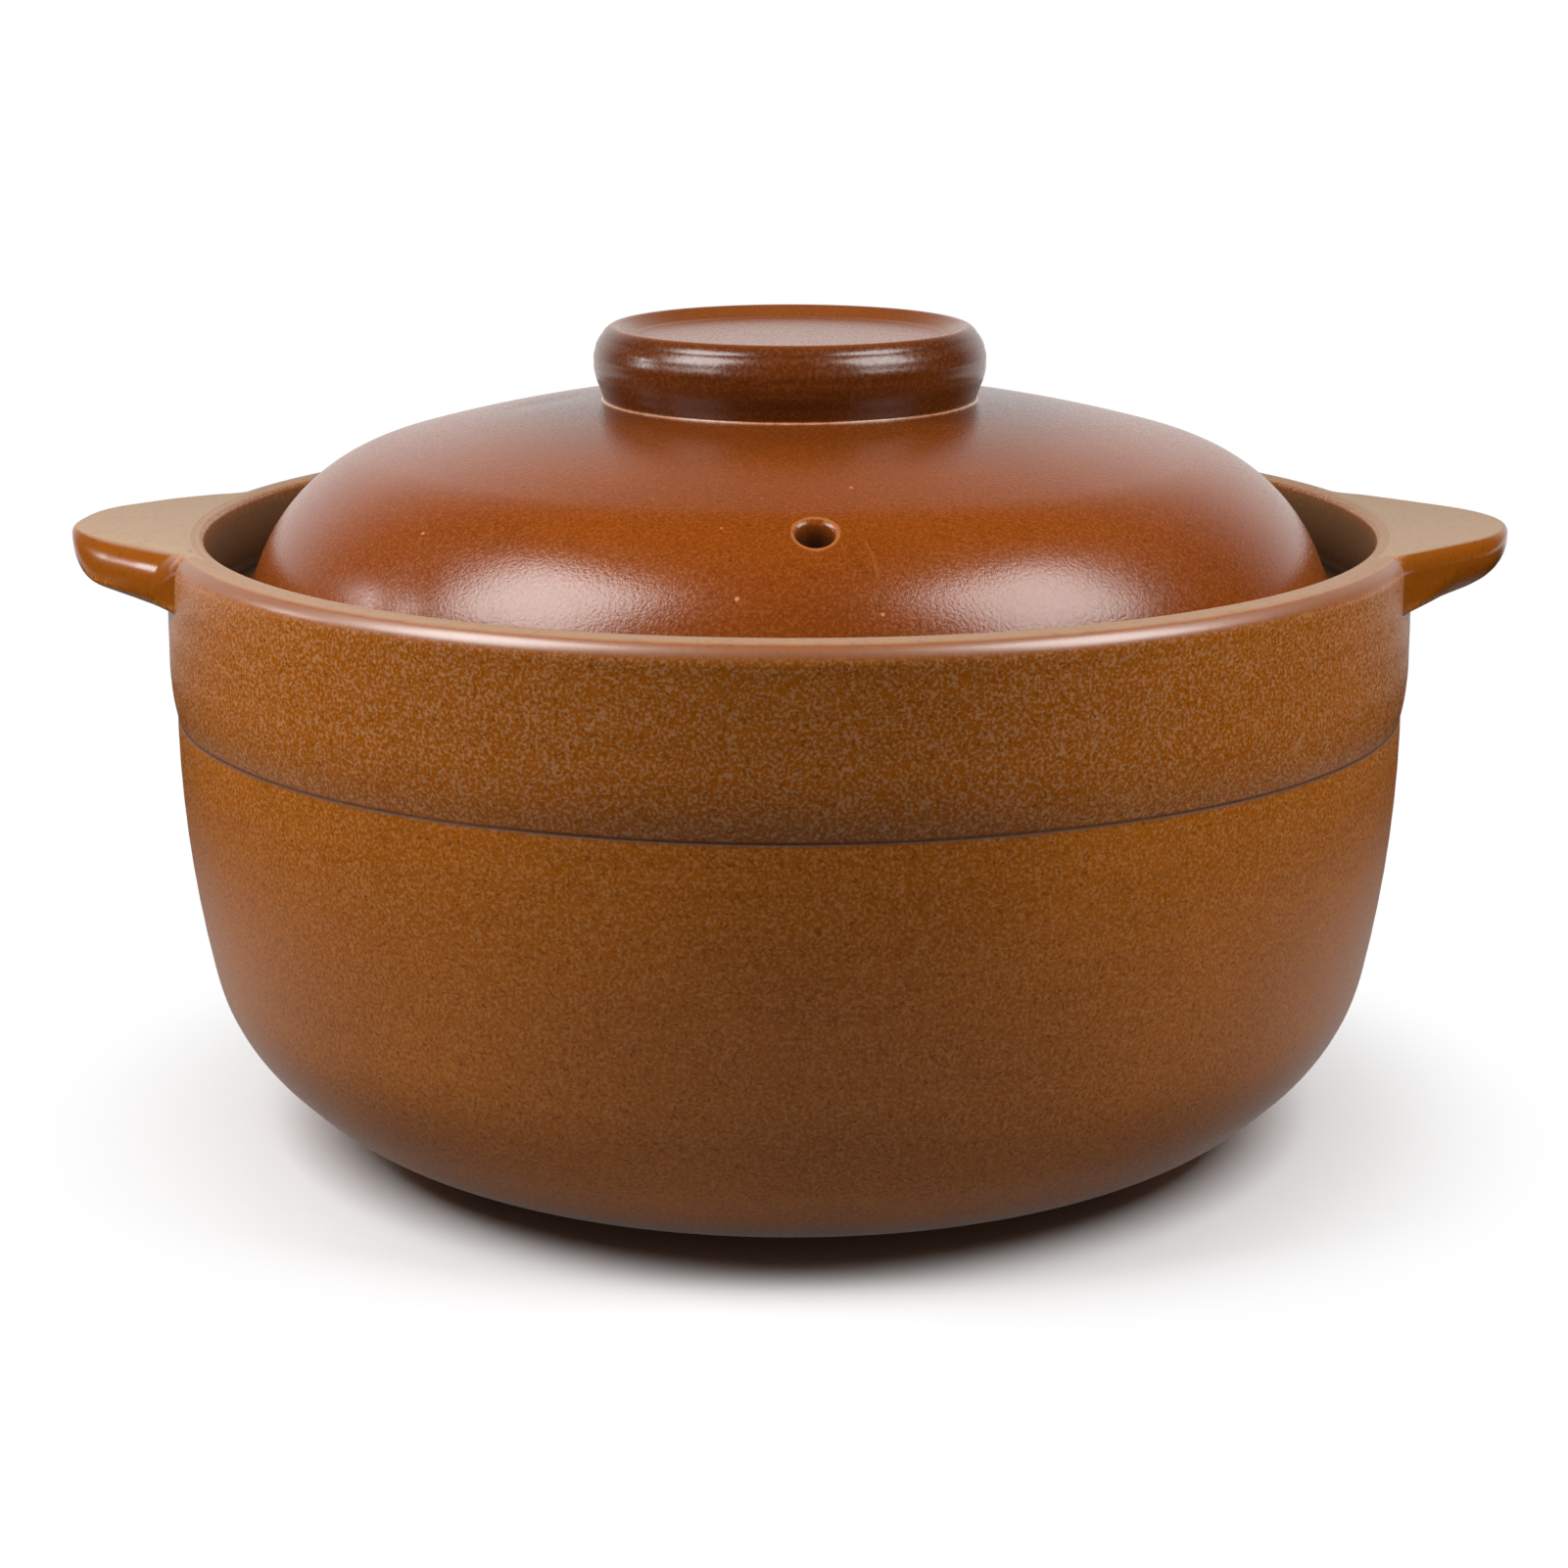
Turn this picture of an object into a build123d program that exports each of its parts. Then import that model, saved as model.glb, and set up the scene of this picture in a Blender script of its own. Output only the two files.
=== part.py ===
from build123d import *

import os
from math import acos, atan2, cos, hypot, radians, sin, sqrt

# Lidded clay cooking pot: a turned bowl with two wing ears, and a loose domed lid with a knob.
# Millimetres. The origin is the centre of the base, +Z is up, and the ears point along +X and -X.
# The steam vent of the lid is at the front, towards -Y.

# Bowl, outside
rim_d = 230.0              # outside of the upright collar
pot_h = 114.0              # base to lip
lip_round = 2.2            # outer edge of the lip and upper edge of the ears
mouth_round = 1.2          # inner edge of the lip
collar_h = 32.6            # lip to the incised line
collar_step = 1.1          # the body is this much smaller in radius than the collar
step_h = 10.0              # height over which the collar eases in to the body
line_w = 0.6               # incised line under the collar
line_depth = 0.4           # its depth
turn_in = 7.9              # where the wall would meet the lower slope, in from the body
turn_h = 21.6              # height of that meeting point
turn_round = 36.0          # rounding of that corner
heel_in = 30.6             # where the lower slope would meet the table, in from the body
heel_round = 42.0          # rounding of that corner
foot_in = 26.5             # edge of the shallow hollow under the base, in from the heel
foot_hollow = 1.2          # depth of that hollow
foot_round = 0.8           # rounding in its corner

# Bowl, inside
rim_wall = 6.6             # collar wall at the mouth
body_wall = 7.0            # wall and floor below the collar
ledge_drop = 13.0          # lip down to the ledge that carries the lid
ledge_w = 14.5             # from the collar in to the edge of the ledge
ledge_nose = 5.0           # thickness of the ledge at its inner edge
ledge_round = 1.5          # edges and inner corner of the ledge
throat_round = 10.0        # where the underside of the ledge runs into the wall

# Wing ears
ear_out = 18.75            # from the collar out to the tip
ear_tip_round = 27.0       # plan radius of the tip
ear_flank_angle = 45.0     # degrees between a flank and the line through both tips
ear_blend = 22.0           # plan radius where a flank runs into the rim
ear_root_t = 11.6          # thickness at the root, inside the collar
ear_tip_t = 7.2            # thickness at the tip
ear_under_round = 4.0      # lower edge
ear_seat = 4.0             # how deep an ear is let into the collar
ear_sink = 0.6             # how deep in the collar the blend of a flank runs out

# Lid dome
lid_gap = 6.9              # between the foot of the skirt and the collar
lid_wall = 6.5             # thickness of the shell
lid_edge_round = 2.5       # outer edge that rests on the ledge
lid_lip_round = 1.2        # inner edge
shoulder_in = 9.2          # where the crown would meet the skirt, in from the foot of the skirt
shoulder_h = 22.7          # above the ledge
shoulder_round = 34.5      # rounding of that corner
crown_rise = 15.9          # top of the whole crown above the shoulder
vent_d = 7.0               # bore of the steam vent
vent_in = 9.9              # axis of the vent, in from the shoulder
vent_turn = 2.8            # degrees from the front towards +X
vent_round = 0.7           # upper edge of the vent

# Lid knob
knob_d = 72.5              # widest
knob_undercut = 1.9        # the foot is this much smaller in radius
knob_land = 1.7            # level land on the crown beyond the foot
knob_belly_h = 7.6         # widest line above the foot
knob_h = 14.0              # foot to the crest of the rim
ridge_in = 3.4             # crest of the rim round the dished top, in from the widest line
ridge_round = 1.6          # rounding of the crest
dish_slope_w = 3.8         # from the crest in to the floor of the dish
dish_depth = 2.3           # crest down to the floor of the dish
dish_round = 2.5           # where the slope meets the floor

cut_over = 2.0             # overrun of every cut past the face that it opens

# Sizes that follow from the ones above
rim_r = rim_d / 2
mouth_r = rim_r - rim_wall
body_r = rim_r - collar_step
turn_r = body_r - turn_in
heel_r = body_r - heel_in
inner_r = body_r - body_wall
line_z = pot_h - collar_h
line_top = line_z + line_w / 2
line_low = line_z - line_w / 2
ledge_z = pot_h - ledge_drop
ledge_r = mouth_r - ledge_w
ear_reach = rim_r + ear_out
seat_r = rim_r - ear_seat
root_r = rim_r - ear_sink
lid_r = mouth_r - lid_gap
shoulder_r = lid_r - shoulder_in
shoulder_z = ledge_z + shoulder_h
crown_z = shoulder_z + crown_rise
crown_r = (shoulder_r**2 + crown_rise**2) / (2 * crown_rise)
vent_r = shoulder_r - vent_in
foot_r = knob_d / 2 - knob_undercut
land_r = foot_r + knob_land
land_z = crown_z - crown_r + sqrt(crown_r**2 - land_r**2)


def line(start, end):
    return Edge.make_line(start, end)


def polar(radius, angle):
    return Vector(radius * cos(angle), radius * sin(angle))


def rounded(outline, corners):
    """An outline with the corner at each point rounded by its own radius."""
    for point, radius in corners:
        vertex = outline.vertices().sort_by_distance(Vector(*point))[0]
        outline = outline.fillet_2d(radius, [vertex])
    return outline


def turned(face):
    """The solid of a face drawn in radius and height, turned about the vertical axis."""
    return revolve(Plane.XZ * face, Axis.Z)


def body_curve():
    """Outside of the body, from the incised line down to the centre of the base."""
    turn = (turn_r, turn_h)
    heel = (heel_r, 0)
    wall = TangentArc((body_r, line_low), turn, tangent=(0, -1))
    curve = Wire([wall.edge(), line(turn, heel), line(heel, (0, 0))])
    return rounded(curve, [(turn, turn_round), (heel, heel_round)])


def bowl_profile():
    """One turned profile: even wall, incised line, stepped collar, flat lip and inner ledge."""
    outside = body_curve()
    inside = outside.offset_2d(body_wall, side=Side.RIGHT, closed=False)
    step_start = (rim_r, line_z + step_h)
    lip = (rim_r, pot_h)
    mouth = (mouth_r, pot_h)
    ledge_root = (mouth_r, ledge_z)
    ledge_top = (ledge_r, ledge_z)
    ledge_low = (ledge_r, ledge_z - ledge_nose)
    throat = (inner_r, line_low)
    incised = Polyline((body_r, line_low), (body_r - line_depth, line_z), (body_r, line_top))
    step = TangentArc(step_start, (body_r, line_top), tangent=(0, -1))
    upper = Polyline(step_start, lip, mouth, ledge_root, ledge_top, ledge_low, throat)
    axis = line((0, 0), (0, body_wall))
    edges = [*outside.edges(), *incised.edges(), step.edge(), *upper.edges(), *inside.edges(), axis]
    return rounded(Face(Wire.combine(edges)[0]), [
        (lip, lip_round),
        (mouth, mouth_round),
        (ledge_root, ledge_round),
        (ledge_top, ledge_round),
        (ledge_low, ledge_round),
        (throat, throat_round),
    ])


def base_hollow():
    """The shallow disc taken out of the base, which leaves a ring to stand on."""
    disc = extrude(Circle(heel_r - foot_in), foot_hollow + cut_over)
    disc = fillet(disc.edges().sort_by(Axis.Z)[-1], foot_round)
    return Pos(0, 0, -cut_over) * disc


def ear_plan():
    """Plan of the ear at +X: round tip, straight flanks, and hollow blends that run into the rim."""
    flank = radians(ear_flank_angle)
    normal = Vector(sin(flank), cos(flank))
    tip_x = ear_reach - ear_tip_round
    flank_offset = normal.X * tip_x + ear_tip_round
    lean = acos((flank_offset + ear_blend) / (root_r + ear_blend))
    root_angle = atan2(normal.Y, normal.X) - lean
    seat = polar(seat_r, root_angle)
    root = polar(root_r, root_angle)
    blend_end = polar(root_r + ear_blend, root_angle) - normal * ear_blend
    tip_start = Vector(tip_x, 0) + normal * ear_tip_round
    along_rim = (sin(root_angle), -cos(root_angle))
    blend = TangentArc(root, blend_end, tangent=along_rim)
    half = Wire([line(seat, root), blend.edge(), line(blend_end, tip_start)])
    tip = ThreePointArc(tip_start, (ear_reach, 0), (tip_start.X, -tip_start.Y))
    back = ThreePointArc(seat, (seat_r, 0), (seat.X, -seat.Y))
    edges = [*half.edges(), tip.edge(), *half.mirror(Plane.XZ).edges(), back.edge()]
    return Face(Wire.combine(edges)[0])


def free_edges(face):
    """The edges of a face of an ear that lie outside the collar."""
    return [
        edge for edge in face.edges()
        if min(hypot(end.X, end.Y) for end in edge.vertices()) > (seat_r + root_r) / 2
    ]


def ear_solid():
    """The ear at +X: level with the lip on top, with an underside that rises to a thinner tip."""
    low = pot_h - ear_root_t
    rise = (ear_root_t - ear_tip_t) / (ear_reach - seat_r)
    past_tip = ear_reach + cut_over
    past_rise = (past_tip - seat_r) * rise
    under = turned(Face(Wire.make_polygon([
        (seat_r, low), (past_tip, low), (past_tip, low + past_rise)
    ])))
    ear = extrude(Pos(0, 0, low) * ear_plan(), ear_root_t, dir=(0, 0, 1)) - under
    ear = fillet(free_edges(ear.faces().sort_by(Axis.Z)[-1]), lip_round)
    cone = ear.faces().filter_by(GeomType.CONE)[0]
    return fillet(free_edges(cone), ear_under_round)


def dome_profile():
    """Even clay shell between the ledge and the level land that the knob sits on."""
    apex = (0, crown_z)
    shoulder = (shoulder_r, shoulder_z)
    brim = (lid_r, ledge_z)
    crown = TangentArc(apex, shoulder, tangent=(1, 0))
    outside = rounded(Wire([crown.edge(), line(shoulder, brim)]), [(shoulder, shoulder_round)])
    inside = outside.offset_2d(lid_wall, side=Side.RIGHT, closed=False)
    inner_end = inside.vertices().sort_by(Axis.Y)[0].center()
    axis = line(apex, (0, crown_z - lid_wall))
    shell = Face(Wire.combine([*outside.edges(), line(brim, inner_end), *inside.edges(), axis])[0])
    band = Rectangle(lid_r, land_z - ledge_z, align=(Align.MIN, Align.MIN))
    profile = (shell & (Pos(0, ledge_z) * band)).face()
    inner_lip = profile.vertices().group_by(Axis.Y)[0].sort_by(Axis.X)[0].center()
    return rounded(profile, [(brim, lid_edge_round), (inner_lip, lid_lip_round)])


def dome_solid():
    """The lid's shell with its steam vent, whose upper edge is rounded."""
    place = polar(vent_r, radians(vent_turn - 90))
    bore = extrude(Pos(place.X, place.Y, ledge_z) * Circle(vent_d / 2), crown_z - ledge_z)
    dome = turned(dome_profile()) - bore
    wall = dome.faces().filter_by(GeomType.CYLINDER)[0]
    mouth = wall.edges().filter_by(GeomType.LINE, reverse=True).sort_by(Axis.Z)[-1]
    return fillet(mouth, vent_round)


def knob_solid():
    """Bellied disc with a dished top, level on the land of the crown."""
    foot = (foot_r, 0)
    belly = (knob_d / 2, knob_belly_h)
    ridge = (knob_d / 2 - ridge_in, knob_h)
    dish = (knob_d / 2 - ridge_in - dish_slope_w, knob_h - dish_depth)
    lower = TangentArc(belly, foot, tangent=(0, -1))
    upper = TangentArc(belly, ridge, tangent=(0, 1))
    inner = Polyline(ridge, dish, (0, knob_h - dish_depth), (0, 0), foot)
    profile = Face(Wire.combine([lower.edge(), upper.edge(), *inner.edges()])[0])
    profile = rounded(profile, [(ridge, ridge_round), (dish, dish_round)])
    return Pos(0, 0, land_z) * turned(profile)


right_ear = ear_solid()
left_ear = mirror(right_ear, about=Plane.YZ)
nodes = {
    "pot_bowl": turned(bowl_profile()) - base_hollow() - right_ear - left_ear,
    "left_ear": left_ear,
    "right_ear": right_ear,
    "lid_dome": dome_solid(),
    "lid_knob": knob_solid(),
}

os.makedirs("parts", exist_ok=True)
for name, solid in nodes.items():
    export_step(solid, f"parts/{name}.step")
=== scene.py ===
import math

import bmesh
import bpy
import numpy as np
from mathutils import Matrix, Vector


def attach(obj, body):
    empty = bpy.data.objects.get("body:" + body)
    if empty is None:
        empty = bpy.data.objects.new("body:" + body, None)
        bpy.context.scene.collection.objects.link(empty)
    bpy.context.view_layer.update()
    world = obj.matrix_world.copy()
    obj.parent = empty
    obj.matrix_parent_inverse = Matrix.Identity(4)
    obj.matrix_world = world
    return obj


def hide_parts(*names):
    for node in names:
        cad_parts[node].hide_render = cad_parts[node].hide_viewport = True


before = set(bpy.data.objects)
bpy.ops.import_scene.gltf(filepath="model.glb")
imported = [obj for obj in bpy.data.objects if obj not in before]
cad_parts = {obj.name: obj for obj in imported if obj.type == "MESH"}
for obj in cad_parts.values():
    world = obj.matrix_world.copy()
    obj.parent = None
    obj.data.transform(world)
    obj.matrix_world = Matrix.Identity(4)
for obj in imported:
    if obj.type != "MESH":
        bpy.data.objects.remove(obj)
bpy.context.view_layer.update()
print("frame loaded:", ", ".join(sorted(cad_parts)))

mm = 0.001  # shapes below are worked out in millimetres
front = -math.pi / 2  # the side that faces the camera
arcStep = 5  # the widest step on an arc of an outline, in degrees
tiny = 1e-9  # keeps a division off zero
white = (1, 1, 1, 1)


# A colour as it is seen, 0 to 255, as the linear one that shaders read, by the sRGB curve.
def paint(red, green, blue):
    share = np.array([red, green, blue]) / 255
    linear = np.where(share <= 0.04045, share / 12.92, ((share + 0.055) / 1.055) ** 2.4)
    return (*linear.tolist(), 1.0)


def ease(value, low, high):  # 0 below low, 1 above high, 3t^2 - 2t^3 between
    share = np.clip((value - low) / (high - low), 0, 1)
    return share * share * (3 - 2 * share)


def bell(value, middle, width):  # a hump of 1 at the middle that falls off as exp(-d^2)
    return np.exp(-(((value - middle) / width) ** 2))


# The sum of size * sin(count * angle + start + lean * height), over the parts of a slow wave.
def waves(angle, parts, height=0):
    return sum(size * np.sin(count * angle + start + lean * height) for count, start, lean, size in parts)


def turningRings(height, pitch, sway):  # a sine of the height, whose start sways round the piece
    return np.sin(2 * np.pi * height / pitch + sway)


def allRound(columns):  # the angles of one full turn, from the front
    return front + np.linspace(0, 2 * np.pi, columns, endpoint=False)[None]


# A turned outline as a walk in radius and height. Each run goes on from the last point: straight where
# its turn is zero, else on an arc of radius length / turn. A run without length is a corner.
def walkOutline(start, runs):
    here, heading = np.array(start, float), 0.0
    points = [here[None]]
    for length, turn, spacing in runs:
        swing = math.radians(turn)
        if length:
            count = max(1, math.ceil(length / spacing), math.ceil(abs(turn) / arcStep))
            part = np.linspace(0, 1, count + 1)[1:, None]
            if turn:
                ahead = heading + part * swing
                step = np.hstack([np.sin(ahead) - math.sin(heading), math.cos(heading) - np.cos(ahead)])
                step = step * length / swing
            else:
                step = part * length * np.array([math.cos(heading), math.sin(heading)])
            points.append(here + step)
            here = points[-1][-1]
        heading += swing
    return np.vstack(points)


def arcRun(radius, turn, spacing=1.5):  # the run that turns by so many degrees on this radius
    return (abs(radius * math.radians(turn)), turn, spacing)


def lengthsAlong(outline):  # the length walked up to each point
    return np.append(0, np.cumsum(np.hypot(*np.diff(outline, axis=0).T)))


def endsOf(outline):  # the two points on the axis that close a turned piece
    return np.array([[0, 0, outline[0, 1]], [0, 0, outline[-1, 1]]])


# Points of a turned grid: x = r cos a, y = r sin a, z = height, for radius and height over rows and angles.
def turnedPoints(radius, height, angle):
    radius, height, angle = np.broadcast_arrays(radius, height, angle)
    return np.stack([radius * np.cos(angle), radius * np.sin(angle), height], axis=-1)


# Faces of a turned grid: the corner at row i and column j joins the next row and the next column, and the
# last column joins the first. The two ends close the first and the last row with triangles.
def turnedFaces(rows, columns, skip=None):
    row, column = np.meshgrid(np.arange(rows - 1), np.arange(columns), indexing="ij")
    here = row * columns + column
    beside = row * columns + (column + 1) % columns
    quads = np.stack([here, beside, beside + columns, here + columns], axis=-1)
    quads = quads.reshape(-1, 4) if skip is None else quads[~skip]
    ring = np.arange(columns)
    ahead = np.roll(ring, -1)
    last = (rows - 1) * columns
    end = np.full(columns, rows * columns)
    firstFan = np.column_stack([end, ahead, ring])
    lastFan = np.column_stack([end + 1, last + ring, last + ahead])
    return quads, np.vstack([firstFan, lastFan])


def addObject(name, data):
    fresh = bpy.data.objects.new(name, data)
    bpy.context.scene.collection.objects.link(fresh)
    return fresh


def putPiece(name, points, faces, masks, material, node, body):
    corners = [face for part in faces for face in part.tolist()]
    mesh = bpy.data.meshes.new(name)
    mesh.from_pydata((points * mm).tolist(), [], corners)
    for label, values in masks.items():
        mesh.attributes.new(label, "FLOAT", "POINT").data.foreach_set("value", values.astype(np.float32))
    shell = bmesh.new()
    shell.from_mesh(mesh)
    bmesh.ops.recalc_face_normals(shell, faces=shell.faces)
    shell.to_mesh(mesh)
    shell.free()
    mesh.polygons.foreach_set("use_smooth", np.ones(len(mesh.polygons), bool))
    mesh.materials.append(material)
    piece = addObject(name, mesh)
    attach(piece, body)
    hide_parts(node)
    print("piece", name, len(points), "points,", len(mesh.polygons), "faces")


# A turned grid as a piece: its points row by row, then its two ends, which take the masks of their next row.
def putTurned(name, grid, ends, masks, material, node, body):
    rows, columns = grid.shape[:2]
    spread = {}
    for label, values in masks.items():
        values = np.broadcast_to(values, (rows, columns))
        spread[label] = np.concatenate([values.ravel(), values[0, :1], values[-1, :1]])
    points = np.vstack([grid.reshape(-1, 3), ends])
    putPiece(name, points, turnedFaces(rows, columns), spread, material, node, body)


# Node helpers. A value that is a socket is linked, any other one is set.
def addNode(tree, kind, sockets=None, **settings):
    fresh = tree.nodes.new(kind)
    for key, value in settings.items():
        setattr(fresh, key, value)
    for key, value in (sockets or {}).items():
        if isinstance(value, bpy.types.NodeSocket):
            tree.links.new(value, fresh.inputs[key])
        else:
            fresh.inputs[key].default_value = value
    return fresh


def emptyTree(owner):  # the nodes of a material or a world, without the ready-made ones
    owner.use_nodes = True
    owner.node_tree.nodes.clear()
    return owner.node_tree


def mixPaint(tree, share, under, over):  # under, with a share of over laid on it
    return addNode(tree, "ShaderNodeMix", {0: share, 6: under, 7: over}, data_type="RGBA").outputs[2]


# What goes from low to high goes from first to last, and stays there.
def fitRange(tree, value, low, high, first=0.0, last=1.0, curve="SMOOTHSTEP"):
    sockets = {0: value, 1: low, 2: high, 3: first, 4: last}
    return addNode(tree, "ShaderNodeMapRange", sockets, interpolation_type=curve).outputs[0]


def sums(tree, operation, one, two, three=0.0):
    return addNode(tree, "ShaderNodeMath", {0: one, 1: two, 2: three}, operation=operation).outputs[0]


def times(tree, one, two):
    return sums(tree, "MULTIPLY", one, two)


def larger(tree, one, two):
    return sums(tree, "MAXIMUM", one, two)


def rest(tree, value):  # what is left of 1
    return sums(tree, "SUBTRACT", 1.0, value)


def cloud(tree, place, scale, detail=2.0, rough=0.5, distort=0.0):
    sockets = {"Vector": place, "Scale": scale, "Detail": detail, "Roughness": rough, "Distortion": distort}
    return addNode(tree, "ShaderNodeTexNoise", sockets).outputs[0]


def stretch(tree, place, scale, shift=(0, 0, 0), turn=(0, 0, 0)):
    sockets = {"Vector": place, "Scale": scale, "Location": shift, "Rotation": turn}
    return addNode(tree, "ShaderNodeMapping", sockets).outputs[0]


def objectPlace(tree):
    return addNode(tree, "ShaderNodeTexCoord").outputs["Object"]


def pieceMask(tree, label):
    return addNode(tree, "ShaderNodeAttribute", attribute_name=label).outputs["Fac"]


def newGroup(name, inputs, outputs):
    group = bpy.data.node_groups.new(name, "ShaderNodeTree")
    for label, value in inputs.items():
        socket = group.interface.new_socket(label, in_out="INPUT", socket_type="NodeSocketFloat")
        socket.default_value = value
    for label in outputs:
        group.interface.new_socket(label, in_out="OUTPUT", socket_type="NodeSocketFloat")
    return group, addNode(group, "NodeGroupInput"), addNode(group, "NodeGroupOutput")


def useGroup(tree, group, **values):
    return addNode(tree, "ShaderNodeGroup", values, node_tree=group)


grainLook = {
    "fine": (2.0, 0.55),  # detail and roughness of the noise
    "broad": (3.0, 0.6),
    "broadSize": 0.7,
    "broadHeight": 0.5,
    "light": (0.46, 0.66),  # the noise where a speck begins and is full
    "dark": (0.48, 0.32),
    "skin": (0.6, 0.9),  # the heights between which the gloss goes from its first value to its last
}


# Glaze grain: light specks from a fine noise and dark ones from a broad noise, and the orange-peel skin of
# the glaze as fine + broad / 2, a height of about 0.55 to 0.95.
def makeGrain(look):
    group, given, out = newGroup("glazeGrain", {"Size": 1200.0, "Shift": 0.0}, ["Light", "Dark", "Height"])
    moved = {0: objectPlace(group), 1: given.outputs["Shift"]}
    place = addNode(group, "ShaderNodeVectorMath", moved, operation="ADD").outputs[0]
    fine = cloud(group, place, given.outputs["Size"], *look["fine"])
    broad = cloud(group, place, times(group, given.outputs["Size"], look["broadSize"]), *look["broad"])
    group.links.new(fitRange(group, fine, *look["light"]), out.inputs["Light"])
    group.links.new(fitRange(group, broad, *look["dark"]), out.inputs["Dark"])
    group.links.new(sums(group, "MULTIPLY_ADD", broad, look["broadHeight"], fine), out.inputs["Height"])
    return group


toneLook = {
    "cloud": (3.0, 0.55, 0.4),  # detail, roughness and distortion
    "cloudRange": (0.34, 0.66),
    "bandStretch": (7, 7, 420),
    "band": (1.0, 3.0, 0.6),  # scale, detail and roughness
    "bandRange": (0.3, 0.7),
}


# Kiln tone: slow drifts of colour over the whole piece, in clouds and in faint turned bands.
def makeKilnTone(look):
    group, given, out = newGroup("kilnTone", {"Size": 22.0}, ["Tone", "Band"])
    place = objectPlace(group)
    clouds = cloud(group, place, given.outputs["Size"], *look["cloud"])
    bands = cloud(group, stretch(group, place, look["bandStretch"]), *look["band"])
    group.links.new(fitRange(group, clouds, *look["cloudRange"]), out.inputs["Tone"])
    group.links.new(fitRange(group, bands, *look["bandRange"]), out.inputs["Band"])
    return group


wearLook = {"ragged": (4.0, 0.65), "middle": 0.5, "range": (0.45, 0.95)}


# Edge wear: the glaze breaks to a paler brown along the edges, in an uneven line.
# On the knob's foot the same pale line is a painted highlight.
def makeEdgeWear(look):
    group, given, out = newGroup("edgeWear", {"Edge": 0.0, "Size": 260.0}, ["Wear"])
    ragged = cloud(group, objectPlace(group), given.outputs["Size"], *look["ragged"])
    spread = sums(group, "ADD", given.outputs["Edge"], sums(group, "SUBTRACT", ragged, look["middle"]))
    group.links.new(fitRange(group, spread, *look["range"]), out.inputs["Wear"])
    return group


scratchLook = {
    "stretch": (1, 1, 2.6),
    "shift": (0.03, 0.01, 0.02),
    "turn": (0.3, 0.5, 0.2),
    "some": (85.0, 2.0, 0.5),  # scale, detail and roughness
    "someRange": (0.56, 0.66),
}


# Fine scratches: thin bent lines where a stretched cell pattern has its borders, kept only in some places.
def makeScratches(look):
    group, given, out = newGroup("fineScratches", {"Size": 30.0, "Width": 0.012}, ["Line"])
    place = objectPlace(group)
    bent = stretch(group, place, look["stretch"], look["shift"], look["turn"])
    sockets = {"Vector": bent, "Scale": given.outputs["Size"]}
    border = addNode(group, "ShaderNodeTexVoronoi", sockets, feature="DISTANCE_TO_EDGE").outputs[0]
    thin = fitRange(group, border, 0.0, given.outputs["Width"], 1.0, 0.0, "LINEAR")
    some = fitRange(group, cloud(group, place, *look["some"]), *look["someRange"])
    group.links.new(times(group, thin, some), out.inputs["Line"])
    return group


grainGroup = makeGrain(grainLook)
toneGroup = makeKilnTone(toneLook)
wearAndHighlightGroup = makeEdgeWear(wearLook)
scratchGroup = makeScratches(scratchLook)
print("node groups made")


def newMaterial(name):
    material = bpy.data.materials.new(name)
    tree = emptyTree(material)
    shader = addNode(tree, "ShaderNodeBsdfPrincipled")
    addNode(tree, "ShaderNodeOutputMaterial", {"Surface": shader.outputs[0]})
    return material, tree, shader


def glazeGroups(tree, look):
    grain = useGroup(tree, grainGroup, Size=look["grainSize"], Shift=look["grainShift"])
    tone = useGroup(tree, toneGroup, Size=look["toneSize"])
    wear = useGroup(tree, wearAndHighlightGroup, Edge=pieceMask(tree, "edge"), Size=look["wearSize"])
    return grain, tone, wear


def scratchLines(tree, look):
    sizes = {"Size": look["scratchSize"], "Width": look["scratchWidth"]}
    return useGroup(tree, scratchGroup, **sizes).outputs["Line"]


# Coats of colour over each other: each one shows by its mask times its share.
def layPaint(tree, colour, coats):
    for mask, share, over in coats:
        colour = mixPaint(tree, times(tree, mask, share), colour, over)
    return colour


def grainRough(tree, grain, look):
    return fitRange(tree, grain.outputs["Height"], *grainLook["skin"], *look["gloss"])


def finishGlaze(tree, shader, look, colour, rough, skin):
    tree.links.new(colour, shader.inputs["Base Color"])
    tree.links.new(rough, shader.inputs["Roughness"])
    sockets = {"Strength": look["skinStrength"], "Distance": look["skinDepth"], "Height": skin}
    tree.links.new(addNode(tree, "ShaderNodeBump", sockets).outputs[0], shader.inputs["Normal"])
    shader.inputs["Specular IOR Level"].default_value = look["mirror"]


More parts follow.
